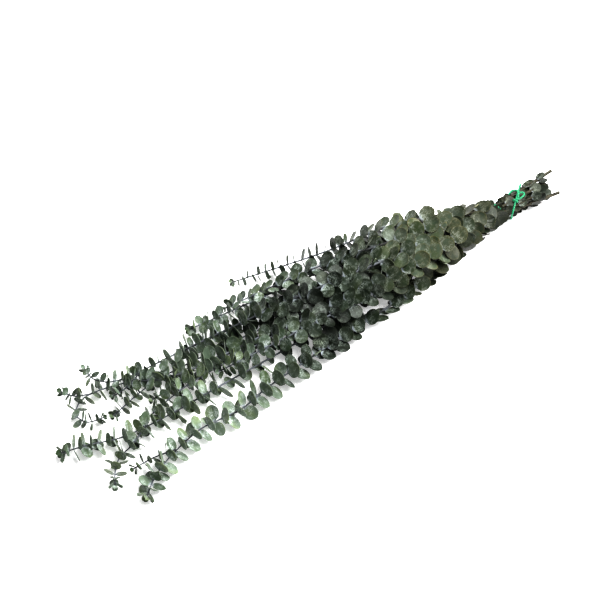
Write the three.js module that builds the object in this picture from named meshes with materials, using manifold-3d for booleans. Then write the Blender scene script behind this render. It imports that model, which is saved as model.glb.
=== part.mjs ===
// A tied bunch of eucalyptus branches lying on a flat surface.
//
// Twelve branches run side by side through one green string tie. Each branch is a woody stem with
// round leaves in opposite pairs, every pair turned a quarter from the one before, and each is one
// solid, because it grew as one piece. The bunch is narrow at the tie and opens out towards the
// leafy tips, and its leaves lean back towards the cut ends, as they were pressed in packing.
//
// Frame, in millimetres: +Z is up from the surface, +X runs from the leafy tips to the cut ends,
// and the origin is on the surface, under the middle of the bunch.

import * as THREE from "three";
import { mergeVertices } from "three/addons/utils/BufferGeometryUtils.js";
import Module from "manifold-3d";

const degrees = (angle) => (angle * Math.PI) / 180;

// ---------------------------------------------------------------- driving dimensions

const TIE = new THREE.Vector3(281, 2.5, 19); // the middle of the tie, where all stems meet
const CORE_STEMS = 3; // stems in the core of the tied bundle, with the rest in a ring round them
const CORE_RADIUS = 3.4;
const CORE_START = degrees(90); // where the first core stem sits
const RING_RADIUS = 9.6;
const RING_START = degrees(20); // where the first ring stem sits
const HELD_TO = 31; // how far past the tie the string still holds the stems together

const STEM_RADIUS_CUT = 2.1;
const STEM_RADIUS_TIP = 0.75;
const TWIG_RADIUS = 0.95; // a side twig where it leaves its branch
const STEM_TAPER = 1.3; // above 1, a stem stays thin for longer behind its tip
const STEM_SIDES = 4; // one side for each leaf direction
const STEM_CORNER = Math.sqrt(Math.PI / 2); // makes a square stem as thick as a round one

const LEAF_LENGTH = 19.5; // a grown leaf, from the stem to its far edge, and its width
const LEAF_THICKNESS = 0.8;
const HEEL_DEPTH = 1; // how far below its plane a leaf's heel can be
const THINNER_BELOW = 12; // leaves shorter than this are thinner in proportion
// A leaf's outline from its base round to its base: how far along, and how far to the side, as
// shares of its length.
const LEAF_RIM = [[0.34, 0.48], [0.78, 0.43], [1, 0], [0.78, -0.43], [0.34, -0.48]];
const LEAF_REACH = 0.58; // radius of a ball round a leaf, as a share of its length
const LEAF_SIZE_SPREAD = 0.2; // how much leaves side by side differ in length
const BUD_LEAF_SHARE = 0.3; // the youngest leaves at a tip, as a share of a grown one
const GROWN_AFTER = 300; // distance from the tip at which leaves are fully grown
const LEAF_GROWTH = 0.42; // below 1, leaves grow fast near the tip and slowly after

const FIRST_PAIR = 2.5; // distance of the youngest leaf pair from the tip
const PAIR_GAP_TIP = 7; // distance between leaf pairs at the tip
const PAIR_GAP_GROWN = 18; // and where the leaves are grown
const GAP_GROWN_AFTER = 200;
const GAP_GROWTH = 0.6;
const BARE_CUT_END = 9; // bare stem before the cut
const BARE_LONG_END = 19; // and on a stem that sticks out of the bunch
const LONG_CUT = 50; // a stem this far past the tie sticks out
const BARE_TWIG_ROOT = 7;

// The angle between a leaf and the way its stem grows: where the branch is open, where it was
// pressed, where the string holds it, and how far a neighbour can push it either way.
const LEAN_OPEN = degrees(105);
const LEAN_PRESSED = degrees(145);
const LEAN_HELD = degrees(170);
const LEAN_LEAST = degrees(62);
const LEAN_MOST = degrees(172);
const LEAN_SPREAD = degrees(20);
const TURN_SPREAD = degrees(30);
const TWIST_SPREAD = degrees(40);
const PRESSED_TO = 410; // distance from the tie at which pressing ends, and over which it fades
const PRESS_FADE = 130;
const HELD_REACH = 70; // distance from the tie over which the string holds the leaves in

// Clearance kept between neighbouring pieces, and the spacing of the points tested for it.
const CLEARANCE = 0.6;
const TEST_STEP = 2;

// The branches, the core ones first. cut is the length of stem past the tie, spread is how much
// wider the bundle is at that end, and to holds guide points [x, y, z] out to the tip, measured
// from the point on the surface under the tie, with x running from the tie to the tips.
const BRANCHES = [
  { cut: 46, spread: 1.2, to: [[75, 3, 33], [155, -2, 47], [300, 18, 38], [440, 36, 20], [520, 43, 15],
    [547, 58, 15], [552, 78, 16]] },
  { cut: 38, spread: 1.2, to: [[75, 4, 24], [155, 6, 30], [300, 2, 24], [455, 12, 17], [521, 38, 14],
    [566, 46, 14], [586, 34, 13], [580, 18, 12], [561, 13, 12]] },
  { cut: 44, spread: 1.2, to: [[75, -4, 24], [150, -10, 26], [300, -21, 15], [434, -23, 14], [499, -24, 14],
    [554, -20, 13], [592, -8, 13], [622, -1, 13]] },
  { cut: 38, spread: 1.2, to: [[75, 19, 30], [150, 43, 35], [240, 62, 22], [350, 88, 14]] },
  { cut: 60, spread: 1.6, to: [[75, 9, 38], [150, 14, 50], [262, 44, 31], [378, 62, 14]] },
  { cut: 34, spread: 1.2, to: [[75, -7, 35], [150, -21, 46], [300, -8, 31], [437, -3, 18], [484, -6, 14],
    [530, -17, 13]] },
  { cut: 36, spread: 1.2, to: [[75, -12, 31], [150, -24, 33], [300, -20, 34], [425, -11, 24]] },
  { cut: 56, spread: 1.8, to: [[75, -17, 20], [125, -26, 16], [200, -37, 14], [280, -43, 14], [383, -53, 14],
    [426, -61, 14], [476, -58, 14], [522, -69, 13], [547, -81, 13], [566, -96, 13]] },
  { cut: 32, spread: 1.2, to: [[75, -8, 13], [150, -11, 12], [300, 2, 12], [400, 8, 13], [505, 3, 13]] },
  { cut: 40, spread: 1.2, to: [[75, 4, 13], [150, 9, 12], [300, 14, 12], [444, 22, 12], [500, 21, 12],
    [552, 9, 12]] },
  { cut: 34, spread: 1.2, to: [[75, 15, 14], [150, 31, 13], [300, 30, 13], [448, 38, 15]] },
  { cut: 40, spread: 1.2, to: [[75, 18, 22], [150, 27, 28], [280, 44, 20], [425, 60, 13]] },
];

// Side twigs that grew from a branch: the branch, counted from 0, and guide points as above.
const TWIGS = [
  { branch: 0, to: [[498, 40, 15], [506, 36, 18], [515, 31, 20], [527, 28, 20], [541, 28, 18]] },
  { branch: 1, to: [[560, 46, 14], [577, 52, 16], [588, 66, 15]] },
  { branch: 2, to: [[526, -21, 14], [548, -33, 13], [570, -40, 12], [581, -51, 12], [590, -67, 12]] },
  { branch: 7, to: [[512, -65, 14], [538, -60, 13], [564, -60, 13]] },
];

// The outline that packing pressed the bunch into, at distances x from the tie: the middle of it
// across and up, its half width and half height, and how square its corners are (2 is an ellipse).
const OUTLINE = [
  { x: -70, across: 0, up: 20, halfWidth: 21, halfHeight: 18.5, square: 2 },
  { x: -40, across: 0, up: 20, halfWidth: 18.5, halfHeight: 18, square: 2 },
  { x: -14, across: -1, up: 19, halfWidth: 17, halfHeight: 16, square: 2 },
  { x: 14, across: -1, up: 19, halfWidth: 17, halfHeight: 16, square: 2 },
  { x: 24, across: -1, up: 19, halfWidth: 19.5, halfHeight: 18, square: 2 },
  { x: 50, across: 2, up: 23, halfWidth: 25, halfHeight: 22.5, square: 2 },
  { x: 75, across: 4, up: 28, halfWidth: 32, halfHeight: 27, square: 2.3 },
  { x: 150, across: 10, up: 36, halfWidth: 56, halfHeight: 36, square: 3.5 },
  { x: 230, across: 9, up: 38, halfWidth: 66, halfHeight: 38, square: 3.5 },
  { x: 340, across: 20, up: 42, halfWidth: 100, halfHeight: 42, square: 3.5 },
];

// The string: its turns round the bundle, each moved along it by shift and leaning by slant times
// its width, the knot, and the loop and loose end that leave the knot, measured from the knot.
const STRING_RADIUS = 1.2;
const STRING_TURNS = [
  { shift: 2.5, slant: 1.15, radius: 15.7, start: degrees(111) },
  { shift: -28, slant: -0.35, radius: 14.4, start: degrees(270) },
];
const TURN_ROUND = degrees(355); // each turn stops just short of its start, where it is joined
const TURN_POINTS = 24;
const KNOT = new THREE.Vector3(TIE.x - 3.9, TIE.y - 5.6, TIE.z + 15.3);
const KNOT_RADIUS = 2.4;
const LOOP = [[0, 0, 0.5], [6, -1.6, 2.5], [12.4, 0.2, 2.4], [12.8, 4, 2], [8, 5.6, 1.6], [3.9, 3.4, 0.4]];
const LOOSE_END = [[0, 0, 0], [4.3, 1.2, 1.6], [9.3, 9.9, 0.6], [6.3, 13.8, -1], [2.3, 13.5, -1], [-2.7, 11.2, 0.6]];

// ---------------------------------------------------------------- small helpers

const mix = (a, b, t) => a + (b - a) * t;
const clamp01 = (t) => Math.min(1, Math.max(0, t));
const smoothLine = (points) => new THREE.CatmullRomCurve3(points, false, "catmullrom");

// The same run of numbers from 0 to 1 every time, so that the bunch always grows the same way.
function chanceFrom(seed) {
  let state = seed;
  return () => {
    state = (state * 16807) % 2147483647;
    return state / 2147483647;
  };
}

// A guide point as a place in the frame, and a place's distance from the tie.
const placed = ([x, y, z]) => new THREE.Vector3(TIE.x - x, TIE.y + y, z);
const fromTie = (point) => TIE.x - point.x;

// ---------------------------------------------------------------- routes of the stems

// A stem's place in the tied bundle, as an offset from the middle of the tie.
function bundleOffset(number) {
  const inCore = number < CORE_STEMS;
  const coreTurn = CORE_START - (2 * Math.PI * number) / CORE_STEMS;
  const ringTurn = RING_START + (2 * Math.PI * (number - CORE_STEMS)) / (BRANCHES.length - CORE_STEMS);
  const angle = inCore ? coreTurn : ringTurn;
  const radius = inCore ? CORE_RADIUS : RING_RADIUS;
  return new THREE.Vector3(0, radius * Math.cos(angle), radius * Math.sin(angle));
}

// From the cut end, through the tie, to the tip.
function branchRoute({ cut, spread, to }, number) {
  const offset = bundleOffset(number);
  const atCut = TIE.clone().addScaledVector(offset, spread);
  atCut.x += cut;
  const inTie = TIE.clone().add(offset);
  const stillHeld = inTie.clone();
  stillHeld.x -= HELD_TO;
  return smoothLine([atCut, inTie, stillHeld, ...to.map(placed)]);
}

// Evenly spaced points along a route, close enough together to test what comes near it.
function traced(route, radiusAt, owner) {
  const length = route.getLength();
  const count = Math.ceil(length / TEST_STEP);
  return route.getSpacedPoints(count).map((point, i) => ({
    point,
    radius: radiusAt(length * (1 - i / count), length),
    owner,
  }));
}

const stemRadius = (fromTip, length, rootRadius) =>
  mix(STEM_RADIUS_TIP, rootRadius, clamp01(fromTip / length) ** STEM_TAPER);

// ---------------------------------------------------------------- the outline and its pressing

function outlineAt(x) {
  const i = Math.max(1, OUTLINE.findIndex((row) => row.x >= x));
  const [a, b] = [OUTLINE[i - 1], OUTLINE[i]];
  const t = clamp01((x - a.x) / (b.x - a.x));
  return Object.fromEntries(Object.keys(a).map((key) => [key, mix(a[key], b[key], t)]));
}

const OUTLINE_END = OUTLINE[OUTLINE.length - 1].x;

function insideOutline(point) {
  if (fromTie(point) > OUTLINE_END) return true;
  const { across, up, halfWidth, halfHeight, square } = outlineAt(fromTie(point));
  const y = Math.abs(point.y - TIE.y - across) / halfWidth;
  const z = Math.abs(point.z - up) / halfHeight;
  return y ** square + z ** square < 1;
}

// How hard a leaf was pressed: 1 near the tie, falling to 0 where the branches open.
const pressure = (point) => clamp01((PRESSED_TO - fromTie(point)) / PRESS_FADE);

// How firmly the string holds a leaf in: 1 at the tie, falling to 0 away from it.
const grip = (point) => clamp01(1 - Math.abs(fromTie(point)) / HELD_REACH);

// The way a pressed leaf faces: up, tilted outward at the sides, and straight out at the tie.
function upAndOut(point) {
  const { across, up, halfWidth, halfHeight } = outlineAt(Math.min(fromTie(point), OUTLINE_END));
  const y = (point.y - TIE.y - across) / halfWidth;
  const z = (point.z - up) / halfHeight;
  const held = grip(point);
  return new THREE.Vector3(0, mix(0.5, 3, held) * y, mix(1, 3 * z, held)).normalize();
}

// ---------------------------------------------------------------- leaves

// A leaf's own axes and corners. tangent runs up the stem, outward is the way the leaf grows, lean
// is the angle between leaf and stem, and twist turns the blade about its own length.
function makeLeaf(root, tangent, outward, lean, twist, length) {
  const along = outward.clone().multiplyScalar(Math.sin(lean)).addScaledVector(tangent, Math.cos(lean));
  const across = new THREE.Vector3().crossVectors(tangent, outward).applyAxisAngle(along, twist);
  const face = new THREE.Vector3().crossVectors(along, across);
  const place = (far, side) =>
    root.clone().addScaledVector(along, far * length).addScaledVector(across, side * length);
  const thickness = LEAF_THICKNESS * Math.min(1, length / THINNER_BELOW);
  const rim = LEAF_RIM.map(([far, side]) => place(far, side));
  const middle = place(0.5, 0);
  const crown = middle.clone().addScaledVector(face, thickness);
  return { root, along, across, face, length, rim, crown, middle, reach: LEAF_REACH * length };
}

// How far a point is over the leaf's plane, and whether it is within the blade's outline.
function overLeaf(leaf, point, margin) {
  const from = point.clone().sub(leaf.middle);
  const radius = 0.5 * leaf.length + margin;
  const far = from.dot(leaf.along) / radius;
  const side = from.dot(leaf.across) / radius;
  return { height: from.dot(leaf.face), inside: far * far + side * side < 1 };
}

// True if any edge or corner of leaf a passes through leaf b or lies against it.
function crosses(a, b) {
  const corners = [a.root, ...a.rim];
  const seen = corners.map((p) => overLeaf(b, p, CLEARANCE));
  const touches = ({ height, inside }) => inside && Math.abs(height) < LEAF_THICKNESS + CLEARANCE;
  const cutsThrough = corners.some((corner, i) => {
    const j = (i + 1) % corners.length;
    const [h, k] = [seen[i].height, seen[j].height];
    return h * k < 0 && overLeaf(b, corner.clone().lerp(corners[j], h / (h - k)), CLEARANCE).inside;
  });
  return cutsThrough || seen.some(touches) || touches(overLeaf(b, a.middle, CLEARANCE));
}

// Stems, string and leaves already in place, kept in slices along X to test only the near ones.
const SLICE = 24;
const slices = new Map();
const sliceOf = (point) => Math.floor(point.x / SLICE);

function near(point) {
  const slice = sliceOf(point);
  return [slice - 1, slice, slice + 1].flatMap((i) => slices.get(i) ?? []);
}

function keep(item, point) {
  const slice = sliceOf(point);
  if (!slices.has(slice)) slices.set(slice, []);
  slices.get(slice).push(item);
}

// A leaf is clear of a stem or the string if no traced point comes through its blade. Its own stem
// counts only away from where the leaf joins it.
const JOINED_WITHIN = 2;

function clearOfLine(leaf, sample, owner) {
  const joined = sample.owner === owner;
  if (joined && sample.point.distanceTo(leaf.root) < JOINED_WITHIN + sample.radius) return true;
  const margin = sample.radius + CLEARANCE;
  const { height, inside } = overLeaf(leaf, sample.point, margin);
  return !inside || Math.abs(height) > margin + LEAF_THICKNESS / 2;
}

function clearOfLeaf(leaf, other) {
  if (other.middle.distanceTo(leaf.middle) > other.reach + leaf.reach) return true;
  return !crosses(leaf, other) && !crosses(other, leaf);
}

function fits(leaf, owner) {
  if (![...leaf.rim, leaf.crown].every((p) => p.z > CLEARANCE && insideOutline(p))) return false;
  return near(leaf.middle).every((other) => (other.rim ? clearOfLeaf(leaf, other) : clearOfLine(leaf, other, owner)));
}

// Ways to shift a leaf from how it would like to sit, in degrees, the smallest shift first.
const LEAN_SHIFTS = [0, 8, -8, 16, -16, 25, -25, 35, 45, 55];
const TURN_SHIFTS = [0, 12, -12, 25, -25, 40, -40];
const TWIST_SHIFTS = [0, 15, -15, 35, -35, 60, -60];
const SIZES = [1, 0.8, 0.6];

const costOf = ({ lean, turn, twist }) => Math.abs(lean) + 0.8 * Math.abs(turn) + 0.5 * Math.abs(twist);
const SHIFTS = LEAN_SHIFTS.flatMap((lean) =>
  TURN_SHIFTS.flatMap((turn) => TWIST_SHIFTS.map((twist) => ({ lean, turn, twist }))));
SHIFTS.sort((a, b) => costOf(a) - costOf(b));

function shiftedLeaf(wish, shift, size) {
  const lean = Math.min(LEAN_MOST, Math.max(LEAN_LEAST, wish.lean + degrees(shift.lean)));
  const outward = wish.outward.clone().applyAxisAngle(wish.tangent, degrees(shift.turn));
  return makeLeaf(wish.root, wish.tangent, outward, lean, wish.twist + degrees(shift.twist), wish.length * size);
}

// The first place where the leaf touches nothing. A leaf with no room is tried smaller, and one
// that still has none was rubbed off when the bunch was tied.
function settledLeaf(wish, owner) {
  for (const size of SIZES) {
    for (const shift of SHIFTS) {
      const leaf = shiftedLeaf(wish, shift, size);
      if (fits(leaf, owner)) return leaf;
    }
  }
  return null;
}

// How the leaf would sit with nothing in its way: nearly square to the stem where the branch is
// open, laid back with its blade flat where the leaves were pressed, and along the stem at the tie.
function wishFor(centre, tangent, outward, radius, length, chance) {
  const press = pressure(centre);
  const spread = LEAN_SPREAD * (chance() - 0.5);
  const lean = mix(mix(LEAN_OPEN, LEAN_PRESSED, press), LEAN_HELD, Math.sqrt(grip(centre))) + spread;
  const free = makeLeaf(centre, tangent, outward, lean, 0, length);
  const facing = upAndOut(centre);
  const tilt = Math.atan2(free.across.dot(facing), free.face.dot(facing));
  const flat = tilt - Math.PI * Math.round(tilt / Math.PI);
  const twist = -flat * press + TWIST_SPREAD * (chance() - 0.5);
  const root = centre.clone().addScaledVector(outward, radius);
  return { root, tangent, outward, lean, twist, length };
}

// ---------------------------------------------------------------- joining solids

const wasm = await Module();
wasm.setup();

function solidFrom(geometry) {
  const plain = geometry.clone();
  plain.deleteAttribute("normal");
  plain.deleteAttribute("uv");
  const merged = mergeVertices(plain, 1e-4);
  const triVerts = new Uint32Array(merged.index.array);
  const vertProperties = merged.attributes.position.array;
  return new wasm.Manifold(new wasm.Mesh({ numProp: 3, vertProperties, triVerts }));
}

function geometryFrom(solid) {
  const mesh = solid.getMesh();
  const geometry = new THREE.BufferGeometry();
  geometry.setAttribute("position", new THREE.BufferAttribute(mesh.vertProperties, 3));
  geometry.setIndex(new THREE.BufferAttribute(mesh.triVerts, 1));
  return geometry;
}

// ---------------------------------------------------------------- a branch

// Leaf pairs along a stem, as distances from its tip.
function pairPlaces(length, rootBare) {
  const places = [];
  let fromTip = FIRST_PAIR;
  while (fromTip < length - rootBare) {
    places.push(fromTip);
    fromTip += mix(PAIR_GAP_TIP, PAIR_GAP_GROWN, clamp01(fromTip / GAP_GROWN_AFTER) ** GAP_GROWTH);
  }
  return places.reverse();
}

const leafLength = (fromTip) =>
  LEAF_LENGTH * mix(BUD_LEAF_SHARE, 1, clamp01(fromTip / GROWN_AFTER) ** LEAF_GROWTH);

// Collects the corners and triangles of one skin.
function newSkin() {
  const points = [];
  const triangles = [];
  const add = (p) => points.push(p.x, p.y, p.z) / 3 - 1;
  const face = (...corners) => triangles.push(...corners);
  const geometry = () => {
    const skin = new THREE.BufferGeometry();
    skin.setAttribute("position", new THREE.Float32BufferAttribute(points, 3));
    skin.setIndex(triangles);
    return skin;
  };
  return { add, face, geometry };
}

// The stem's middle and axes at a distance from its tip, asked for from the root to the tip.
function framesAlong(route, length, spin) {
  const up = new THREE.Vector3(0, 0, 1);
  let side = new THREE.Vector3().crossVectors(route.getTangentAt(0), up);
  return (fromTip) => {
    const t = clamp01(1 - fromTip / length);
    const tangent = route.getTangentAt(t);
    side = side.clone().addScaledVector(tangent, -side.dot(tangent)).normalize();
    return { centre: route.getPointAt(t), tangent, side: side.clone().applyAxisAngle(tangent, spin) };
  };
}

function addRing(skin, { centre, tangent, side }, radius) {
  return Array.from({ length: STEM_SIDES }, (_, i) => {
    const corner = side.clone().applyAxisAngle(tangent, degrees(90 * i - 45));
    return skin.add(centre.clone().addScaledVector(corner, STEM_CORNER * radius));
  });
}

function joinRings(skin, lower, upper) {
  for (let i = 0; i < STEM_SIDES; i++) {
    const j = (i + 1) % STEM_SIDES;
    skin.face(lower[i], lower[j], upper[j], lower[i], upper[j], upper[i]);
  }
}

// A leaf as a thin blade, thickest at its crown, that tapers to a heel inside the stem.
function leafSolid(leaf, heelPlace) {
  const skin = newSkin();
  const [right, farRight, tip, farLeft, left] = leaf.rim.map(skin.add);
  const crown = skin.add(leaf.crown);
  const tooDeep = Math.min(0, heelPlace.clone().sub(leaf.root).dot(leaf.face) + HEEL_DEPTH);
  const heel = skin.add(heelPlace.clone().addScaledVector(leaf.face, -tooDeep));
  const top = [heel, left, farLeft, tip, farRight, right];
  top.forEach((corner, i) => skin.face(corner, top[(i + 1) % top.length], crown));
  skin.face(heel, right, left, right, farRight, left);
  skin.face(farRight, farLeft, left, farRight, tip, farLeft);
  return solidFrom(skin.geometry());
}

// Settles the two leaves of a pair on opposite sides of the stem, and gives their solids.
function settlePair({ frame, heel, pair, radius, fromTip, owner, chance }) {
  const solids = [];
  for (const side of pair % 2 ? [1, 3] : [0, 2]) {
    const angle = degrees(90 * side) + TURN_SPREAD * (chance() - 0.5);
    const outward = frame.side.clone().applyAxisAngle(frame.tangent, angle);
    const length = leafLength(fromTip) * (1 + LEAF_SIZE_SPREAD * (chance() - 0.5));
    const leaf = settledLeaf(wishFor(frame.centre, frame.tangent, outward, radius, length, chance), owner);
    if (!leaf) continue;
    keep(leaf, leaf.middle);
    solids.push(leafSolid(leaf, heel));
  }
  return solids;
}

// The stem is a square tube from the cut end to the tip, with a ring halfway between leaf pairs, so
// that each leaf joins it on one flat side, with its heel in the middle of the tube.
function growBranch(route, { rootRadius, rootBare, owner, seed }) {
  const chance = chanceFrom(seed);
  const length = route.getLength();
  const stem = newSkin();
  const frameAt = framesAlong(route, length, chance() * Math.PI);
  const radiusAt = (fromTip) => stemRadius(fromTip, length, rootRadius);
  const places = pairPlaces(length, rootBare);
  const halfways = places.slice(1).map((fromTip, i) => (places[i] + fromTip) / 2);
  const leaves = [];

  let below = frameAt(length);
  let last = addRing(stem, below, rootRadius);
  stem.face(last[0], last[2], last[1], last[0], last[3], last[2]);
  places.forEach((fromTip, pair) => {
    const frame = frameAt(fromTip);
    const above = frameAt(halfways[pair] ?? 0);
    const middle = new THREE.Line3(below.centre, above.centre);
    const heel = middle.closestPointToPoint(frame.centre, true, new THREE.Vector3());
    leaves.push(...settlePair({ frame, heel, pair, radius: radiusAt(fromTip), fromTip, owner, chance }));
    if (pair === halfways.length) return;
    const ring = addRing(stem, above, radiusAt(halfways[pair]));
    joinRings(stem, last, ring);
    [below, last] = [above, ring];
  });
  const tip = stem.add(route.getPointAt(1));
  last.forEach((corner, i) => stem.face(corner, last[(i + 1) % STEM_SIDES], tip));
  return wasm.Manifold.union([solidFrom(stem.geometry()), ...leaves]);
}

// ---------------------------------------------------------------- the string

// A cord along a path, round but for its few straight sides.
function cordAlong({ path, steps }) {
  const section = new THREE.Shape();
  section.absarc(0, 0, STRING_RADIUS, 0, 2 * Math.PI);
  return new THREE.ExtrudeGeometry(section, { steps, extrudePath: path, curveSegments: 3, bevelEnabled: false });
}

function turnPoint({ shift, slant, radius }, angle) {
  const across = radius * Math.cos(angle);
  return new THREE.Vector3(TIE.x + shift + slant * across, TIE.y + across, TIE.z + radius * Math.sin(angle));
}

function turnPath(turn) {
  const share = TURN_ROUND / TURN_POINTS;
  const angles = Array.from({ length: TURN_POINTS + 1 }, (_, i) => turn.start + i * share);
  return smoothLine(angles.map((angle) => turnPoint(turn, angle)));
}

// Under the bunch the string runs from its first turn to its second.
function crossingPath() {
  const under = degrees(270);
  const [first, second] = STRING_TURNS.map((turn) => turnPoint(turn, under));
  const beyond = second.clone().add(new THREE.Vector3(-STRING_RADIUS, 0, 0));
  return smoothLine([first, second, beyond]);
}

const fromKnot = (points) => smoothLine(points.map((point) => KNOT.clone().add(new THREE.Vector3(...point))));

const STRING_PATHS = [
  ...STRING_TURNS.map((turn) => ({ path: turnPath(turn), steps: TURN_POINTS })),
  { path: crossingPath(), steps: 4 },
  { path: fromKnot(LOOP), steps: 14 },
  { path: fromKnot(LOOSE_END), steps: 14 },
];

function makeString() {
  const knot = new THREE.SphereGeometry(KNOT_RADIUS, 8, 6).translate(KNOT.x, KNOT.y, KNOT.z);
  return STRING_PATHS.reduce((solid, cord) => solid.add(solidFrom(cordAlong(cord))), solidFrom(knot));
}

// ---------------------------------------------------------------- putting the bunch together

const foliageGreen = new THREE.MeshStandardMaterial({ color: 0x4c5a48, roughness: 0.75, metalness: 0 });
const stringGreen = new THREE.MeshStandardMaterial({ color: 0x2fae74, roughness: 0.45, metalness: 0 });

const routes = BRANCHES.map(branchRoute);
const twigRoutes = TWIGS.map(({ to }) => smoothLine(to.map(placed)));

// Everything that leaves must not touch has to be in place before the first leaf is.
const tracedLines = [
  ...routes.map((route, i) => traced(route, (d, l) => stemRadius(d, l, STEM_RADIUS_CUT), i)),
  ...twigRoutes.map((route, i) => traced(route, (d, l) => stemRadius(d, l, TWIG_RADIUS), TWIGS[i].branch)),
  ...STRING_PATHS.map(({ path }) => traced(path, () => STRING_RADIUS, "string")),
];
tracedLines.flat().forEach((sample) => keep(sample, sample.point));

const BRANCH_SEED = 101;
const TWIG_SEED = 901;

function makeBranch(route, owner) {
  const rootBare = BRANCHES[owner].cut > LONG_CUT ? BARE_LONG_END : BARE_CUT_END;
  const stem = growBranch(route, { rootRadius: STEM_RADIUS_CUT, rootBare, owner, seed: BRANCH_SEED + 37 * owner });
  const twigs = TWIGS.map(({ branch }, t) => {
    if (branch !== owner) return [];
    const options = { rootRadius: TWIG_RADIUS, rootBare: BARE_TWIG_ROOT, owner, seed: TWIG_SEED + 53 * t };
    return [growBranch(twigRoutes[t], options)];
  });
  return wasm.Manifold.union([stem, ...twigs.flat()]);
}

function addPart(group, solid, material, name) {
  const mesh = new THREE.Mesh(geometryFrom(solid), material);
  mesh.name = name;
  group.add(mesh);
}

const bunch = new THREE.Group();
routes.forEach((route, i) => {
  addPart(bunch, makeBranch(route, i), foliageGreen, `branch_${String(i + 1).padStart(2, "0")}`);
});
addPart(bunch, makeString(), stringGreen, "green_tie");

export default bunch;
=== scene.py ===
# %% [markdown]
# # A tied bunch of eucalyptus
#
# The bunch is twelve branches of round-leaved eucalyptus, held by a green string near their cut
# ends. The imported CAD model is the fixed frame: it says how big the bunch is and where it lies.
# Here every branch gets a woody stem, leaves at their real spacing, and finishes to match.

# %% Load the frame
import math

import bpy
import numpy as np
from mathutils import Matrix, Vector


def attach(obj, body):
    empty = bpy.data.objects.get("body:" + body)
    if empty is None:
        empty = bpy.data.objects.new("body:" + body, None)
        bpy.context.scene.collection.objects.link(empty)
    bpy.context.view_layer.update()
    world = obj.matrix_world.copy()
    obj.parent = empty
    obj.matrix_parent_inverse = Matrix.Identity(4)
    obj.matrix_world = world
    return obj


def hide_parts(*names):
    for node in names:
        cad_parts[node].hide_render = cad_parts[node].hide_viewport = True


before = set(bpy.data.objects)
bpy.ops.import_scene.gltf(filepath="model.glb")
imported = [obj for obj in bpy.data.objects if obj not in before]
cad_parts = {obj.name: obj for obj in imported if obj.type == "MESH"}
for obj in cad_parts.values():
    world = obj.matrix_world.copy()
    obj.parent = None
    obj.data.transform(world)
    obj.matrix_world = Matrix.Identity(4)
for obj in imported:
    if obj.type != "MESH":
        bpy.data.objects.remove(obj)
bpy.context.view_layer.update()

MM = 0.001


# %% [markdown]
# ## Floor, light and camera
#
# The bunch lies on a plain white surface under a large soft light that stands high on the cut-end
# side, so each leaf drops a small soft shadow towards the tips. A white world fills the rest in.
# The camera looks down at it from the tip side, with a long lens, which keeps the bunch's
# proportions almost as in a drawing.

# %% Floor and world
FILL_LIGHT = 0.42
WHITE = (1, 1, 1, 1)
PAPER = (0.92, 0.92, 0.92, 1)

bpy.ops.mesh.primitive_plane_add(size=8, location=(0, 0, 0))
floor = bpy.context.object
floor.name = "floor"
paper_white = bpy.data.materials.new("paper_white")
paper_white.use_nodes = True
paper_inputs = paper_white.node_tree.nodes["Principled BSDF"].inputs
paper_inputs["Base Color"].default_value = PAPER
paper_inputs["Roughness"].default_value = 0.9
paper_inputs["Emission Color"].default_value = WHITE
paper_inputs["Emission Strength"].default_value = FILL_LIGHT
floor.data.materials.append(paper_white)

world = bpy.data.worlds.new("studio")
world.use_nodes = True
world_inputs = world.node_tree.nodes["Background"].inputs
world_inputs["Color"].default_value = WHITE
world_inputs["Strength"].default_value = FILL_LIGHT
bpy.context.scene.world = world
bpy.context.scene.view_settings.view_transform = "Standard"
bpy.context.scene.view_settings.gamma = 0.75

# %% Light and camera
LOOK_AT = Vector((-0.0082, 0.0339, 0))
VIEW_TURN = math.radians(-32)
VIEW_RISE = math.radians(60)
VIEW_DISTANCE = 1.686
VIEW_LENS = 85
LIGHT_FROM = Vector((0.42, -0.08, 0.9))
LIGHT_DISTANCE = 1.7
LIGHT_SIZE = 1.5
LIGHT_POWER = 112


def aimed(location, target):
    """The turn that points an object's -Z axis from location to target."""
    return (target - location).to_track_quat("-Z", "Y").to_euler()


view_from = Vector((
    math.sin(VIEW_TURN) * math.cos(VIEW_RISE),
    -math.cos(VIEW_TURN) * math.cos(VIEW_RISE),
    math.sin(VIEW_RISE),
))
camera_place = LOOK_AT + VIEW_DISTANCE * view_from
bpy.ops.object.camera_add(location=camera_place, rotation=aimed(camera_place, LOOK_AT))
bpy.context.object.data.lens = VIEW_LENS
bpy.context.scene.camera = bpy.context.object

light_place = LIGHT_DISTANCE * LIGHT_FROM.normalized()
bpy.ops.object.light_add(type="AREA", location=light_place, rotation=aimed(light_place, Vector()))
bpy.context.object.data.size = LIGHT_SIZE
bpy.context.object.data.energy = LIGHT_POWER
print("camera at", [round(v, 3) for v in camera_place])


# %% [markdown]
# ## Where each branch runs
#
# All stems pass through one tie and spread from there. A few guide points a branch are enough,
# measured in millimetres from the point on the floor under the tie, out to the tip. A smooth line
# through the guides is then cut into even steps, so that anything can be placed by its distance
# along the stem.

# %% Guide points
TIE = np.array([281.0, 2.5, 19.0])
CORE_STEMS = 3
CORE_RADIUS = 3.4
CORE_START = math.radians(90)
RING_RADIUS = 9.6
RING_START = math.radians(20)
HELD_TO = 31  # how far past the tie the string still holds the stems together

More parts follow.
